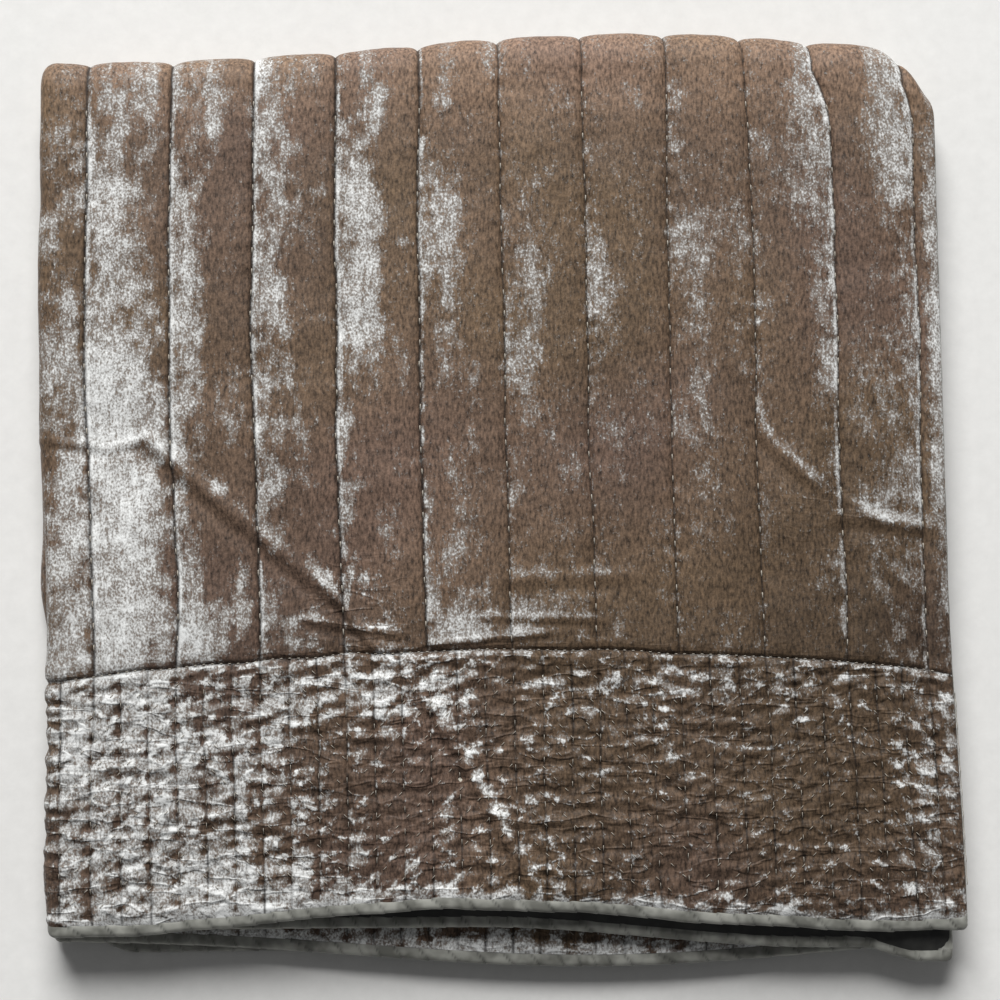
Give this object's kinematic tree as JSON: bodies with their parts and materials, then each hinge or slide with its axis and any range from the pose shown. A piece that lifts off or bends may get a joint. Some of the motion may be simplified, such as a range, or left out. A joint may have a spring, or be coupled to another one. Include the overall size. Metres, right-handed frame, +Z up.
{
  "type": "folded quilted velvet throw",
  "caption": "Hand-quilted velvet throw folded into a flat four-layer stack, with long channel quilting, a close-quilted border and a narrow binding; the upper half opens.",
  "frame": {"origin": "the middle of the folded stack's underside, on the surface that it rests on", "axes": "+X runs from the side fold on the left to the throw's bound side edges on the right, +Y runs from the open bound ends at the front to the end fold at the back, +Z points up through the four layers"},
  "size_m": [0.56, 0.57, 0.0354],
  "materials": {
    "silk_velvet": "crushed silk velvet, taupe brown with a silver-white lustre where the pile leans",
    "cotton_wadding": "soft needled cotton wadding, off-white",
    "cotton_backing": "plain-weave cotton, olive grey",
    "cotton_binding": "narrow plain-weave cotton tape, grey, puckered along its seam",
    "sewing_thread": "twisted cotton thread, taupe"
  },
  "bodies": {
    "head_half": {"head_velvet_field": "silk_velvet", "head_velvet_border": "silk_velvet", "head_wadding": "cotton_wadding", "head_backing": "cotton_backing", "head_end_binding": "cotton_binding", "head_side_binding_top": "cotton_binding", "head_side_binding_under": "cotton_binding", "head_channel_thread_top": "sewing_thread", "head_channel_thread_under": "sewing_thread", "head_border_thread_top": "sewing_thread", "head_border_thread_under": "sewing_thread", "head_border_seam_thread": "sewing_thread", "fold_velvet": "silk_velvet", "fold_wadding": "cotton_wadding", "fold_backing": "cotton_backing", "fold_side_binding_outer": "cotton_binding", "fold_side_binding_inner": "cotton_binding"},
    "foot_half": {"foot_velvet_field": "silk_velvet", "foot_velvet_border": "silk_velvet", "foot_wadding": "cotton_wadding", "foot_backing": "cotton_backing", "foot_end_binding": "cotton_binding", "foot_side_binding_top": "cotton_binding", "foot_side_binding_under": "cotton_binding", "foot_channel_thread_top": "sewing_thread", "foot_channel_thread_under": "sewing_thread", "foot_border_thread_top": "sewing_thread", "foot_border_thread_under": "sewing_thread", "foot_border_seam_thread": "sewing_thread"}
  },
  "joints": [
    {"name": "end_fold", "type": "hinge", "parent": "head_half", "child": "foot_half", "pos_m": [0, 0.2673, 0.0177], "axis": [-1, 0, 0], "range_deg": [0, 180], "deforming": ["fold_velvet", "fold_wadding", "fold_backing", "fold_side_binding_outer", "fold_side_binding_inner"]}
  ]
}
